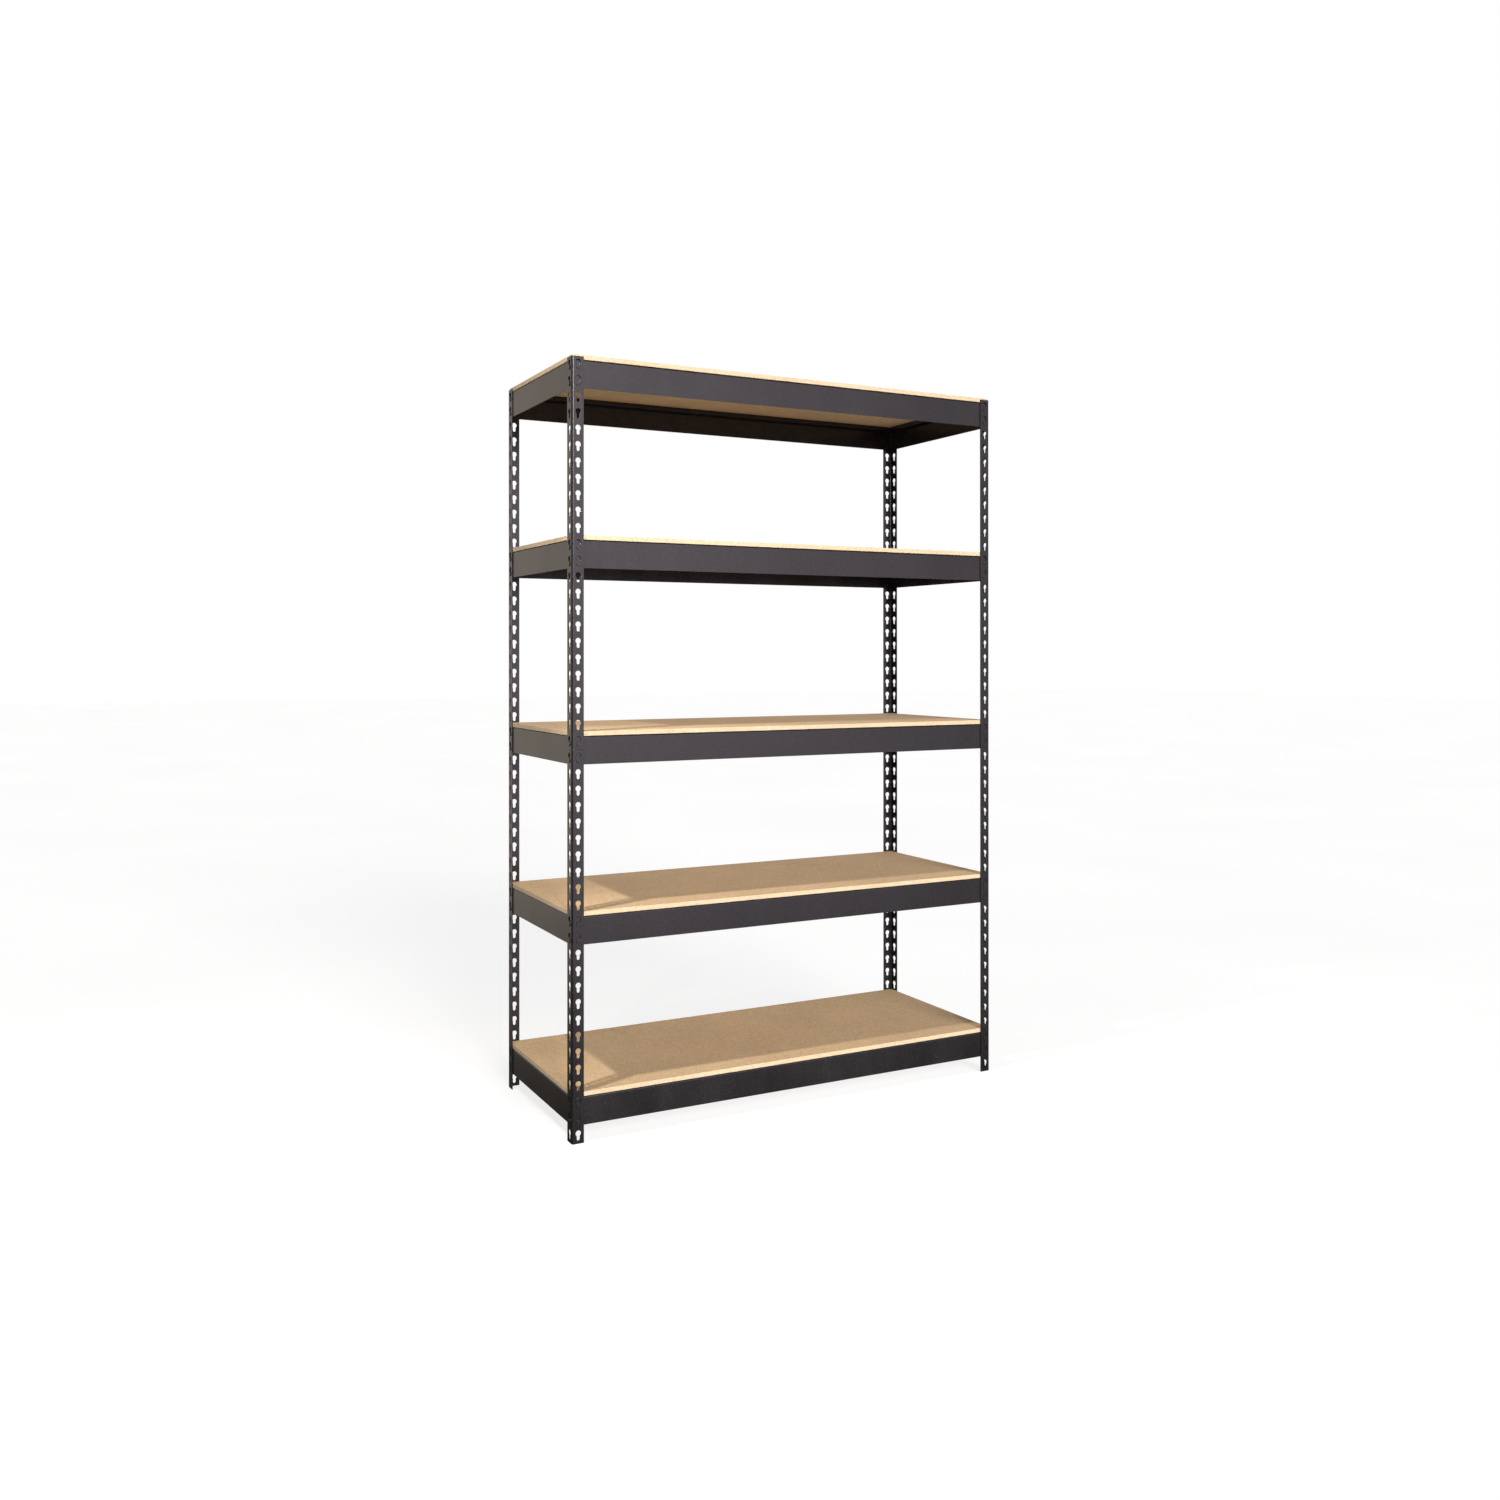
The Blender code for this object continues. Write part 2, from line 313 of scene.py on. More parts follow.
def particle_board(name, finish):
    """Pressed wood chips in resin: flat chips of many shades, fine dust between them and a few open pores."""
    material, tree, shader = new_material(name)
    chip, ground, dark, pale = (finish[key] for key in ("chip", "ground", "dark", "pale"))
    even = object_place(tree)
    wavy = wavy_place(tree, even, chip)
    chips = cells_of(tree, wavy, chip)
    slivers = cells_of(tree, wavy, chip * 0.38)
    flour = noise_of(tree, even, chip * 0.16, detail=3.0, roughness=0.65)
    drift = noise_of(tree, even, 0.16, detail=3.0)
    pores = spread(tree, noise_of(tree, even, chip * 0.55, detail=1.0), 0.70, 0.78)

    big = ramp(tree, chips["Red"], ((0.0, dark), (0.22, ground), (0.75, ground), (1.0, pale)))
    small = ramp(tree, slivers["Green"], ((0.0, dark), (0.12, ground), (0.8, ground), (1.0, pale)))
    colour = blend_colours(tree, 0.5, big, small)
    fine = ramp(tree, flour, ((0.25, (0.78, 0.76, 0.74)), (0.6, (1.0, 1.0, 1.0)), (0.8, (1.08, 1.06, 1.03))))
    colour = blend_colours(tree, 1.0, colour, fine, kind="MULTIPLY")
    wide = ramp(tree, drift, ((0.3, (0.93, 0.92, 0.90)), (0.7, (1.04, 1.03, 1.02))))
    colour = blend_colours(tree, 1.0, colour, wide, kind="MULTIPLY")
    colour = blend_colours(tree, spread(tree, pores, 0.0, 1.0, 0.0, 0.7), colour, finish["pore"])
    tree.links.new(colour, shader.inputs["Base Color"])
    tree.links.new(spread(tree, flour, 0.3, 0.8, 0.86, 0.72), shader.inputs["Roughness"])
    height = sum_of(tree, (slivers["Blue"], 0.25), (flour, 0.45), (chips["Blue"], 0.2), (pores, -0.5))
    raise_surface(tree, shader, height, finish["relief"])
    return material


def studio_floor():
    """Pale to look at, but it sends little light back up under the shelves."""
    material, tree, shader = new_material("studio_floor")
    dark, pale = FLOOR_GREYS
    patches = noise_of(tree, object_place(tree), FLOOR_PATCH)
    shade = ramp(tree, patches, ((0.3, (dark, dark, dark)), (0.7, (pale, pale, pale))))
    tree.links.new(shade, shader.inputs["Base Color"])
    shader.inputs["Emission Color"].default_value = (1.0, 1.0, 1.0, 1.0)
    shader.inputs["Emission Strength"].default_value = FLOOR_GLOW
    shader.inputs["Roughness"].default_value = 0.9
    shader.inputs["Specular IOR Level"].default_value = 0.1
    dull = tree.nodes.new("ShaderNodeEmission")
    dull.inputs["Strength"].default_value = FLOOR_BOUNCE
    seen_and_sent(tree, shader.outputs["BSDF"], dull.outputs["Emission"], tree.nodes["Material Output"])
    return material


# ---------------------------------------------------------------- geometry trees

def geometry_tree(name, inputs):
    """A Geometry Nodes tree with named inputs and one geometry output."""
    tree = bpy.data.node_groups.new(name, "GeometryNodeTree")
    tree.interface.new_socket("Geometry", in_out="OUTPUT", socket_type="NodeSocketGeometry")
    for label, kind in inputs:
        tree.interface.new_socket(label, in_out="INPUT", socket_type="NodeSocket" + kind)
    given = tree.nodes.new("NodeGroupInput")
    result = tree.nodes.new("NodeGroupOutput")
    return tree, given.outputs, result.inputs["Geometry"]


def geometry_node(tree, kind, settings=None, **inputs):
    """A Geometry Nodes node; each input is given a socket to follow or a plain value."""
    node = tree.nodes.new(kind)
    for name, value in (settings or {}).items():
        setattr(node, name, value)
    for name, value in inputs.items():
        socket = node.inputs[name.replace("_", " ")]
        if isinstance(value, list):
            for source in value:
                tree.links.new(source, socket)
        elif isinstance(value, bpy.types.NodeSocket):
            tree.links.new(value, socket)
        else:
            socket.default_value = value
    return node


def grown(tree, name, values):
    """Runs a Geometry Nodes tree with these input values and returns its result as a plain mesh."""
    carrier = bpy.data.objects.new(name, bpy.data.meshes.new(name))
    bpy.context.scene.collection.objects.link(carrier)
    modifier = carrier.modifiers.new("grow", "NODES")
    modifier.node_group = tree
    for item in tree.interface.items_tree:
        if item.in_out == "INPUT":
            modifier[item.identifier] = values[item.name]
    bpy.context.view_layer.update()
    graph = bpy.context.evaluated_depsgraph_get()
    mesh = bpy.data.meshes.new_from_object(carrier.evaluated_get(graph), depsgraph=graph)
    mesh.name = name
    finish = next(material for material in mesh.materials if material)
    mesh.materials.clear()
    mesh.materials.append(finish)
    bpy.data.objects.remove(carrier, do_unlink=True)
    return mesh


def punched_blank_tree():
    """A flat blank cut from an outline, with rows of punched holes and every cut edge rounded over.

    The outline runs anticlockwise and the punch clockwise, so the rim always rounds away from the steel.
    """
    tree, given, result = geometry_tree("punched_blank", (
        ("Outline", "Object"), ("Punch", "Object"), ("Rim", "Object"), ("Finish", "Material"),
        ("Holes In A Row", "Int"), ("First Hole", "Vector"), ("Pitch", "Vector"),
        ("Rows", "Int"), ("Row Spacing", "Vector"), ("Half Thickness", "Vector")))
    outline = geometry_node(tree, "GeometryNodeObjectInfo", Object=given["Outline"])
    punch = geometry_node(tree, "GeometryNodeObjectInfo", Object=given["Punch"])
    rim = geometry_node(tree, "GeometryNodeObjectInfo", Object=given["Rim"])

    places = geometry_node(tree, "GeometryNodeMeshLine", Count=given["Holes In A Row"],
                           Start_Location=given["First Hole"], Offset=given["Pitch"])
    row = geometry_node(tree, "GeometryNodeInstanceOnPoints", Points=places.outputs["Mesh"],
                        Instance=punch.outputs["Geometry"])
    row_starts = geometry_node(tree, "GeometryNodeMeshLine", Count=given["Rows"], Offset=given["Row Spacing"])
    rows = geometry_node(tree, "GeometryNodeInstanceOnPoints", Points=row_starts.outputs["Mesh"],
                         Instance=row.outputs["Instances"])
    holes = geometry_node(tree, "GeometryNodeRealizeInstances", Geometry=rows.outputs["Instances"])
    cuts = geometry_node(tree, "GeometryNodeJoinGeometry",
                         Geometry=[outline.outputs["Geometry"], holes.outputs["Geometry"]])

    face = geometry_node(tree, "GeometryNodeFillCurve", Curve=cuts.outputs["Geometry"])
    top = geometry_node(tree, "GeometryNodeTransform", Geometry=face.outputs["Mesh"],
                        Translation=given["Half Thickness"])
    down = geometry_node(tree, "ShaderNodeVectorMath", {"operation": "SCALE"},
                         Vector=given["Half Thickness"], Scale=-1.0)
    bottom = geometry_node(tree, "GeometryNodeTransform", Geometry=face.outputs["Mesh"],
                           Translation=down.outputs["Vector"])
    facing_down = geometry_node(tree, "GeometryNodeFlipFaces", Mesh=bottom.outputs["Geometry"])
    level = geometry_node(tree, "GeometryNodeSetCurveNormal", {"mode": "Z_UP"},
                          Curve=cuts.outputs["Geometry"])
    edge = geometry_node(tree, "GeometryNodeCurveToMesh", Curve=level.outputs["Curve"],
                         Profile_Curve=rim.outputs["Geometry"])
    shell = geometry_node(tree, "GeometryNodeJoinGeometry", Geometry=[
        top.outputs["Geometry"], facing_down.outputs["Mesh"], edge.outputs["Mesh"]])
    closed = geometry_node(tree, "GeometryNodeMergeByDistance", Geometry=shell.outputs["Geometry"],
                           Distance=WELD)
    whole = geometry_node(tree, "GeometryNodeRealizeInstances", Geometry=closed.outputs["Geometry"])
    finished = geometry_node(tree, "GeometryNodeSetMaterial", Geometry=whole.outputs["Geometry"],
                             Material=given["Finish"])
    tree.links.new(finished.outputs["Geometry"], result)
    return tree


def rivet_set_tree():
    """Rivets of one form at both ends of a beam, two above each other at each end."""
    tree, given, result = geometry_tree("rivet_set", (
        ("Rivet", "Object"), ("Finish", "Material"), ("Lowest At One End", "Vector"),
        ("Step Up", "Vector"), ("Step To Other End", "Vector")))
    rivet = geometry_node(tree, "GeometryNodeObjectInfo", Object=given["Rivet"])
    pair_places = geometry_node(tree, "GeometryNodeMeshLine", Count=2, Offset=given["Step Up"],
                                Start_Location=given["Lowest At One End"])
    pair = geometry_node(tree, "GeometryNodeInstanceOnPoints", Points=pair_places.outputs["Mesh"],
                         Instance=rivet.outputs["Geometry"])
    ends = geometry_node(tree, "GeometryNodeMeshLine", Count=2, Offset=given["Step To Other End"])
    both = geometry_node(tree, "GeometryNodeInstanceOnPoints", Points=ends.outputs["Mesh"],
                         Instance=pair.outputs["Instances"])
    real = geometry_node(tree, "GeometryNodeRealizeInstances", Geometry=both.outputs["Instances"])
    finished = geometry_node(tree, "GeometryNodeSetMaterial", Geometry=real.outputs["Geometry"],
                             Material=given["Finish"])
    tree.links.new(finished.outputs["Geometry"], result)
    return tree


# ---------------------------------------------------------------- outlines and forms

def arc(centre_x, centre_y, radius, first, last, steps):
    """Points along an arc, angles in degrees."""
    points = []
    for index in range(steps + 1):
        angle = math.radians(first + (last - first) * index / steps)
        points.append((centre_x + radius * math.cos(angle), centre_y + radius * math.sin(angle)))
    return points


def guide(name, points, closed=True):
    """A flat line of straight runs, only used as an input of a geometry tree."""
    curve = bpy.data.curves.new(name, "CURVE")
    curve.dimensions = "3D"
    spline = curve.splines.new("POLY")
    spline.points.add(len(points) - 1)
    for point, (x, y) in zip(spline.points, points):
        point.co = (x, y, 0.0, 1.0)
    spline.use_cyclic_u = closed
    obj = bpy.data.objects.new(name, curve)
    bpy.context.scene.collection.objects.link(obj)
    return obj


def discard(*spares):
    for spare in spares:
        bpy.data.objects.remove(spare, do_unlink=True)


def rounded_outline(corners, radius, steps=4):
    """An anticlockwise outline through right-angled corners, each rounded over, inner corners too."""
    points = []
    count = len(corners)
    for index, corner in enumerate(corners):
        here = Vector(corner)
        before = (here - Vector(corners[index - 1])).normalized()
        after = (Vector(corners[(index + 1) % count]) - here).normalized()
        centre = here + radius * (after - before)
        for step in range(steps + 1):
            turn = QUARTER * step / steps
            spoke = math.sin(turn) * before - math.cos(turn) * after
            place = centre + radius * spoke
            points.append((place.x, place.y))
    return points


def keyhole_outline():
    """A keyhole, clockwise, with its rim set back into the steel by the rounding of the cut."""
    grow = CUT_ROUND
    hole = HOLE_RADIUS + grow
    stem = STEM_HALF_WIDTH + grow
    meet = math.degrees(math.acos(stem / hole))
    points = arc(0, HOLE_RISE, hole, 180 + meet, -meet, HOLE_STEPS)
    points += arc(0, STEM_HALF_WIDTH - STEM_DROP, stem, 0, -180, STEM_STEPS)
    return points


def rim_outline(thickness):
    """Half of a cut edge's section, from one face of the sheet round to the other."""
    half = thickness / 2
    upper = arc(0, half - CUT_ROUND, CUT_ROUND, 90, 0, 1)
    lower = arc(0, CUT_ROUND - half, CUT_ROUND, 0, -90, 1)
    return upper + lower


def folded(blank, thickness, radius, flats, start, heading):
    """Folds a flat blank at right angles, always to the right, into the section that it has in use.

    flats are the widths of its flat runs. The blank's X runs across them and its Y along the piece.
    Returns the section in XY with the length along Z, outer side first at start, going along heading.
    """
    shape = bmesh.new()
    shape.from_mesh(blank)
    neutral = radius - thickness / 2
    bend_length = neutral * QUARTER
    bends = []
    edge = 0.0
    for flat in flats[:-1]:
        bends.append(edge + flat)
        edge += flat + bend_length
    for bend in bends:
        for step in range(FOLD_STEPS + 1):
            cut = bend + bend_length * step / FOLD_STEPS
            bmesh.ops.bisect_plane(shape, geom=shape.verts[:] + shape.edges[:] + shape.faces[:],
                                   dist=1e-7, plane_co=(cut, 0, 0), plane_no=(1, 0, 0))
    for vert in shape.verts:
        across, along, depth = vert.co.x, vert.co.y, vert.co.z + thickness / 2
        place = Vector(start)
        ahead = Vector(heading)
        passed = 0.0
        for index, flat in enumerate(flats):
            inward = Vector((ahead.y, -ahead.x))
            run = across - passed
            if run <= flat or index == len(flats) - 1:
                place += ahead * run + inward * depth
                break
            place += ahead * flat
            passed += flat
            centre = place + radius * inward
            turn = min((across - passed) / neutral, QUARTER)
            if turn < QUARTER:
                place = centre - (radius - depth) * (math.cos(turn) * inward - math.sin(turn) * ahead)
                break
            place = centre + radius * ahead
            ahead = inward
            passed += bend_length
        vert.co = (place.x, place.y, along)
    bmesh.ops.remove_doubles(shape, verts=shape.verts, dist=1e-6)
    bmesh.ops.recalc_face_normals(shape, faces=shape.faces)
    made = blank.copy()
    shape.to_mesh(made)
    shape.free()
    return made


def turned(name, profile, sides):
    """A solid of revolution about Y from (radius, y) points that begin and end on the axis."""
    shape = bmesh.new()
    rings = []
    for radius, place in profile:
        if radius == 0:
            rings.append([shape.verts.new((0, place, 0))])
            continue
        rings.append([shape.verts.new((radius * math.cos(turn), place, radius * math.sin(turn)))
                      for turn in (2 * math.pi * side / sides for side in range(sides))])
    for first, second in zip(rings, rings[1:]):
        for side in range(sides):
            after = (side + 1) % sides
            corners = [first[side % len(first)], first[after % len(first)],
                       second[after % len(second)], second[side % len(second)]]
            shape.faces.new(list(dict.fromkeys(corners)))
    bmesh.ops.recalc_face_normals(shape, faces=shape.faces)
    mesh = bpy.data.meshes.new(name)
    shape.to_mesh(mesh)
    shape.free()
    mesh.shade_smooth()
    return mesh


def rivet_profile():
    """From the middle of the flat head, down the shank and through the face to the set tail."""
    under = -(POST_STEEL + 2 * AIR)
    top = under - HEAD_THICKNESS
    head = [(0, top)]
    for turn in (0, 30, 60, 90):
        head.append((HEAD_RADIUS - HEAD_ROUND * (1 - math.sin(math.radians(turn))),
                     top + HEAD_ROUND * (1 - math.cos(math.radians(turn)))))
    head += [(HEAD_RADIUS, under - UNDER_HEAD_ROUND), (HEAD_RADIUS - UNDER_HEAD_ROUND, under)]
    shank = [(SHANK_RADIUS, under), (SHANK_RADIUS, BEAM_STEEL),
             (TAIL_RADIUS - UNDER_HEAD_ROUND, BEAM_STEEL)]
    tail = [(TAIL_RADIUS, BEAM_STEEL + TAIL_THICKNESS * 0.4),
            (TAIL_RADIUS * 0.72, BEAM_STEEL + TAIL_THICKNESS),
            (0, BEAM_STEEL + TAIL_THICKNESS * 1.1)]
    return head + shank + tail


# ---------------------------------------------------------------- pieces

def finish_edges(mesh, angle=40):
    """Smooth shading that keeps flat faces flat."""
    mesh.shade_smooth()
    mesh.set_sharp_from_angle(angle=math.radians(angle))


def add_piece(name, mesh, body, stands_for=None):
    """A finished piece at the origin that rides on a body."""
    piece = bpy.data.objects.new(name, mesh)
    bpy.context.scene.collection.objects.link(piece)
    weighted = piece.modifiers.new("flat_faces", "WEIGHTED_NORMAL")
    weighted.keep_sharp = True
    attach(piece, body)
    if stands_for:
        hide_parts(stands_for)
    return piece


def moved_copy(mesh, name, placing):
    made = mesh.copy()
    made.name = name
    made.transform(placing)
    return made


def spin_about_z(quarters):
    return Matrix.Rotation(quarters * QUARTER, 4, "Z")


def add_posts(tree, rim, steel):
    low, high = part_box("post_front_left_lower")
    leg = high[0] - low[0]
    length = high[2] - low[2]
    flat = leg - POST_BEND
    bend_length = (POST_BEND - POST_STEEL / 2) * QUARTER
    width = 2 * flat + bend_length
    edge = CUT_ROUND
    corners = [(edge, edge), (width - edge, edge), (width - edge, length - edge), (edge, length - edge)]
    outline = guide("post_outline", rounded_outline(corners, BLANK_CORNER))
    punch = guide("keyhole", keyhole_outline())
    first = leg - SLOT_INSET
    second = flat + bend_length + SLOT_INSET - POST_BEND
    blank = grown(tree, "half_post_blank", {
        "Outline": outline, "Punch": punch, "Rim": rim, "Finish": steel,
        "Holes In A Row": int(length / SLOT_PITCH + 0.5), "First Hole": (first, SLOT_PITCH / 2, 0),
        "Pitch": (0, SLOT_PITCH, 0), "Rows": 2, "Row Spacing": (second - first, 0, 0),
        "Half Thickness": (0, 0, POST_STEEL / 2)})
    post = folded(blank, POST_STEEL, POST_BEND, (flat, flat), (leg, 0), (-1, 0))
    finish_edges(post)
    for corner, quarters in CORNERS.items():
        for half in ("lower", "upper"):
            node = f"post_{corner}_{half}"
            low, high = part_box(node)
            corner_x = low[0] if "left" in corner else high[0]
            corner_y = low[1] if "front" in corner else high[1]
            placing = Matrix.Translation((corner_x, corner_y, low[2])) @ spin_about_z(quarters)
            add_piece(f"{node}_steel", moved_copy(post, node, placing), "frame", node)
    discard(outline, punch)


def make_beam(tree, rim, steel, span, height):
    """A beam with its rivet holes, along X, its outer side at Y = 0 and its ledge to +Y at Z = 0.

    span is over the outsides of the posts and height is that of the beam's face.
    """
    web = height - BEAM_BEND
    shelf = LEDGE - 2 * BEAM_BEND
    hem = LIP - BEAM_BEND
    bend_length = (BEAM_BEND - BEAM_STEEL / 2) * QUARTER
    width = web + shelf + hem + 2 * bend_length
    length = span - 2 * BEAM_SETBACK
    notch = SKIN + LEDGE + NOTCH_AIR - BEAM_SETBACK
    notch_from = web + bend_length + 2 * CUT_ROUND
    edge = CUT_ROUND
    corners = [(edge, edge), (notch_from, edge), (notch_from, notch), (width - edge, notch),
               (width - edge, length - notch), (notch_from, length - notch), (notch_from, length - edge),
               (edge, length - edge)]
    outline = guide("beam_outline", rounded_outline(corners, BLANK_CORNER))
    punch = guide("rivet_hole", arc(0, 0, SHANK_RADIUS - AIR, 360, 360 / RIVET_HOLE_SIDES,
                                    RIVET_HOLE_SIDES - 1))
    lowest = height - BEAM_ABOVE - SLOT_PITCH / 2 - RIVET_DROP
    blank = grown(tree, "beam_blank", {
        "Outline": outline, "Punch": punch, "Rim": rim, "Finish": steel,
        "Holes In A Row": 2, "First Hole": (lowest, SLOT_INSET - BEAM_SETBACK, 0),
        "Pitch": (SLOT_PITCH, 0, 0), "Rows": 2, "Row Spacing": (0, span - 2 * SLOT_INSET, 0),
        "Half Thickness": (0, 0, BEAM_STEEL / 2)})
    beam = folded(blank, BEAM_STEEL, BEAM_BEND, (web, shelf, hem), (0, -height), (0, 1))
    beam.transform(Matrix(((0, 0, 1, -length / 2), (1, 0, 0, 0), (0, 1, 0, 0), (0, 0, 0, 1))))
    finish_edges(beam)
    discard(outline, punch)
    return beam


def make_rivets(tree, rivet, steel, span):
    """The four rivets of a beam, placed as make_beam draws it."""
    lowest = -BEAM_ABOVE - SLOT_PITCH / 2 - RIVET_DROP
    return grown(tree, "rivets", {
        "Rivet": rivet, "Finish": steel,
        "Lowest At One End": (SLOT_INSET - span / 2, 0, lowest),
        "Step Up": (0, 0, SLOT_PITCH), "Step To Other End": (span - 2 * SLOT_INSET, 0, 0)})


def add_beams(blank_tree, rivet_tree, rim, steel, rivet_steel, width, depth):
    low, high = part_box("front_beam_1")
    height = high[2] - low[2]
    rivet = bpy.data.objects.new("rivet_form", turned("rivet_form", rivet_profile(), RIVET_SIDES))
    bpy.context.scene.collection.objects.link(rivet)
    for sides, span, reach in ((("front", "rear"), width, depth), (("left", "right"), depth, width)):
        beam = make_beam(blank_tree, rim, steel, span, height)
        rivets = make_rivets(rivet_tree, rivet, rivet_steel, span)
        for side in sides:
            out = spin_about_z(SIDES[side]) @ Matrix.Translation((0, SKIN - reach / 2, 0))
            for level in LEVELS:
                node = f"{side}_beam_{level}"
                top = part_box(node)[1][2]
                placing = Matrix.Translation((0, 0, top)) @ out
                add_piece(f"{node}_steel", moved_copy(beam, node, placing), "frame", node)
                fastened = moved_copy(rivets, f"{node}_rivets", placing)
                add_piece(f"{node}_rivets", fastened, "frame")
    discard(rivet)


def board_edge_line(low, high):
    """Points round a board with the outward direction at each, its corners clipped."""
    clip = BOARD_CORNER
    corners = [(low[0] + clip, low[1]), (high[0] - clip, low[1]), (high[0], low[1] + clip),
               (high[0], high[1] - clip), (high[0] - clip, high[1]), (low[0] + clip, high[1]),
               (low[0], high[1] - clip), (low[0], low[1] + clip)]
    points = []
    for index, corner in enumerate(corners):
        here = Vector(corner)
        there = Vector(corners[(index + 1) % len(corners)])
        run = there - here
        out = Vector((run.y, -run.x)).normalized()
        steps = max(1, round(run.length / BOARD_STEP))
        for step in range(steps):
            points.append((here + run * step / steps, out))
    return points


def make_board(name, low, high, level, face_finish, edge_finish):
    """A sawn board: sharp arrises, broken here and there where chips pulled out under the saw.

    Each row of points round its edge has an inset, a height and the share of a full chip that shows there.
    """
    thickness = high[2] - low[2]
    rows = ((BOARD_ARRIS, 0.0, 1.0), (0.0, BOARD_ARRIS, 0.6), (0.0, 0.3 * thickness, 0.15),
            (0.0, 0.7 * thickness, 0.15), (0.0, thickness - BOARD_ARRIS, 0.6), (BOARD_ARRIS, thickness, 1.0))
    line = board_edge_line(low, high)
    shape = bmesh.new()
    loops = []
    for row, (inset, rise, share) in enumerate(rows):
        loop = []
        for place, out in line:
            seed = Vector((place.x, place.y, level * LEVEL_SEED + row * ROW_SEED)) / CHIP_SPACING
            chip = max(0.0, noise.noise(seed) - CHIP_ONSET) * CHIP_STEEPNESS
            chip += SAW_MARKS * abs(noise.noise(seed * SAW_MARKS_FINENESS))
            back = inset + share * BOARD_CHIP * min(chip, 1.0)
            spot = place - out * back
            loop.append(shape.verts.new((spot.x, spot.y, low[2] + rise)))
        loops.append(loop)
    count = len(line)
    for lower, upper in zip(loops, loops[1:]):
        for index in range(count):
            after = (index + 1) % count
            side = shape.faces.new((lower[index], lower[after], upper[after], upper[index]))
            side.material_index = 1
    shape.faces.new(loops[0][::-1])
    shape.faces.new(loops[-1])
    mesh = bpy.data.meshes.new(name)
    shape.to_mesh(mesh)
    shape.free()
    mesh.materials.append(face_finish)
    mesh.materials.append(edge_finish)
    finish_edges(mesh, 30)
    return mesh


def add_boards(face_finish, edge_finish):
    for level in LEVELS:
        node = f"shelf_board_{level}"
        low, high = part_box(node)
        mesh = make_board(node, low, high, level, face_finish, edge_finish)
        add_piece(f"{node}_wood", mesh, f"board_{level}", node)


# ---------------------------------------------------------------- studio

def add_floor():
    mesh = bpy.data.meshes.new("floor")
    shape = bmesh.new()
    bmesh.ops.create_grid(shape, x_segments=8, y_segments=8, size=FLOOR_REACH)
    shape.to_mesh(mesh)
    shape.free()
    mesh.materials.append(studio_floor())
    floor = bpy.data.objects.new("floor", mesh)
    floor.location = (0, 0, cad_low[2] - FLOOR_AIR)
    bpy.context.scene.collection.objects.link(floor)
    floor.visible_glossy = False


def add_ceiling_lamp(kind, energy, way):
    """One part of the small bright lamp, up on the left and a little in front."""
    light = bpy.data.lights.new("ceiling_lamp", kind)
    if kind == "AREA":
        light.shape = "DISK"
        light.size = LAMP_SIZE
    else:
        light.shadow_soft_size = LAMP_SIZE / 2
        light.spot_size = math.radians(CONE_WIDTH)
        light.spot_blend = CONE_SOFTNESS
    light.energy = energy
    light.color = LAMP_COLOUR
    lamp = bpy.data.objects.new("ceiling_lamp", light)
    lamp.location = LAMP_PLACE
    lamp.rotation_euler = Vector(way).to_track_quat("-Z", "Y").to_euler()
    lamp.visible_camera = False
    bpy.context.scene.collection.objects.link(lamp)


def glow(tree, direction, fall, heading, inner, outer, colour, strength):
    """Light from round one heading of the sky, full up to inner degrees from it and gone at outer."""
    nearness = tree.nodes.new("ShaderNodeVectorMath")
    nearness.operation = "DOT_PRODUCT"
    nearness.inputs[1].default_value = Vector(heading).normalized()
    tree.links.new(direction, nearness.inputs[0])
    amount = spread(tree, nearness.outputs["Value"], math.cos(math.radians(outer)),
                    math.cos(math.radians(inner)), 0.0, strength)
    product = tree.nodes.new("ShaderNodeMath")
    product.operation = "MULTIPLY"
    tree.links.new(amount, product.inputs[0])
    tree.links.new(fall, product.inputs[1])
    light = tree.nodes.new("ShaderNodeBackground")
    light.inputs["Color"].default_value = (*colour, 1.0)
    tree.links.new(product.outputs[0], light.inputs["Strength"])
    return light.outputs["Background"]


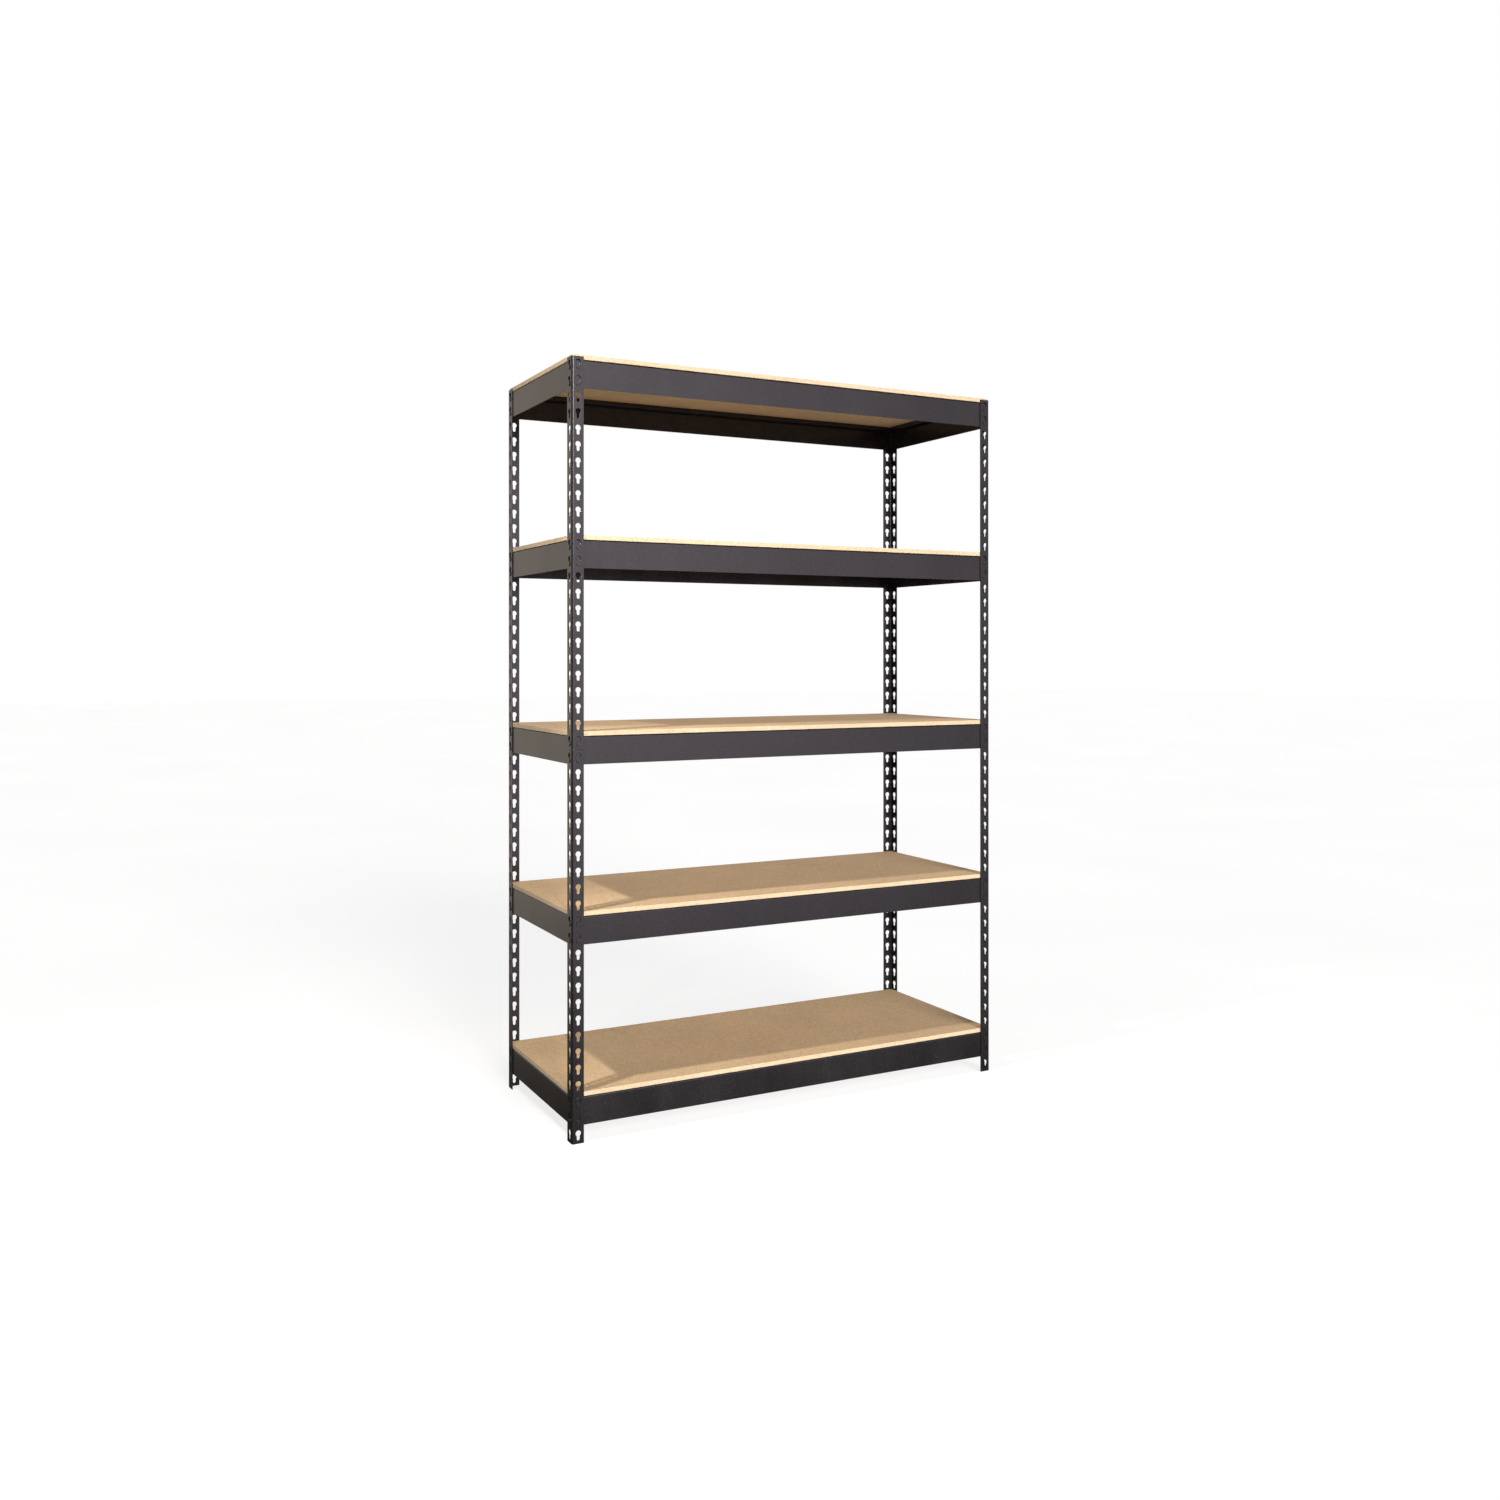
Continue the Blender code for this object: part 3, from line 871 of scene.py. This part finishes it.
def add_world():
    """A white backdrop; its light is soft all round, stronger in front and warm from the rear left."""
    world = bpy.data.worlds.new("studio")
    world.use_nodes = True
    tree = world.node_tree
    backdrop = tree.nodes["Background"]
    backdrop.inputs["Color"].default_value = (1.0, 1.0, 1.0, 1.0)
    backdrop.inputs["Strength"].default_value = 1.0
    direction = tree.nodes.new("ShaderNodeTexCoord").outputs["Generated"]
    split = tree.nodes.new("ShaderNodeSeparateXYZ")
    tree.links.new(direction, split.inputs["Vector"])
    fall = spread(tree, split.outputs["Z"], *GROUND_FALL)
    light = glow(tree, direction, fall, *GLOWS[0])
    for settings in GLOWS[1:]:
        node = tree.nodes.new("ShaderNodeAddShader")
        tree.links.new(light, node.inputs[0])
        tree.links.new(glow(tree, direction, fall, *settings), node.inputs[1])
        light = node.outputs[0]
    seen_and_sent(tree, backdrop.outputs["Background"], light, tree.nodes["World Output"])
    bpy.context.scene.world = world


def add_lights():
    add_world()
    for name, strength, width, way in SUNS:
        sun = bpy.data.lights.new(name, "SUN")
        sun.energy = strength
        sun.angle = math.radians(width)
        sun.color = SUN_COLOUR
        lamp = bpy.data.objects.new(name, sun)
        lamp.rotation_euler = Vector(way).to_track_quat("-Z", "Y").to_euler()
        bpy.context.scene.collection.objects.link(lamp)
    for settings in CEILING_LAMPS:
        add_ceiling_lamp(*settings)


def add_camera():
    camera = bpy.data.cameras.new("camera")
    camera.sensor_width = 36.0
    camera.lens = CAMERA_LENS
    camera.shift_x, camera.shift_y = CAMERA_SHIFT
    view = bpy.data.objects.new("camera", camera)
    view.location = CAMERA_PLACE
    view.rotation_euler = [math.radians(angle) for angle in CAMERA_TURN]
    bpy.context.scene.collection.objects.link(view)
    bpy.context.scene.camera = view


def main():
    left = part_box("post_front_left_lower")[0]
    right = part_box("post_rear_right_lower")[1]
    width = right[0] - left[0]
    depth = right[1] - left[1]

    steel = powder_coat("black_powder_coat", STEEL_BLACK)
    rivet_steel = powder_coat("black_rivet_coat", RIVET_BLACK)
    face = particle_board("board_face", FACE_FINISH)
    edge = particle_board("board_edge", EDGE_FINISH)

    blank_tree = punched_blank_tree()
    post_rim = guide("post_rim", rim_outline(POST_STEEL), closed=False)
    beam_rim = guide("beam_rim", rim_outline(BEAM_STEEL), closed=False)
    add_posts(blank_tree, post_rim, steel)
    add_beams(blank_tree, rivet_set_tree(), beam_rim, steel, rivet_steel, width, depth)
    discard(post_rim, beam_rim)
    add_boards(face, edge)

    add_floor()
    add_lights()
    add_camera()
    bpy.context.scene.view_settings.view_transform = "Standard"


main()
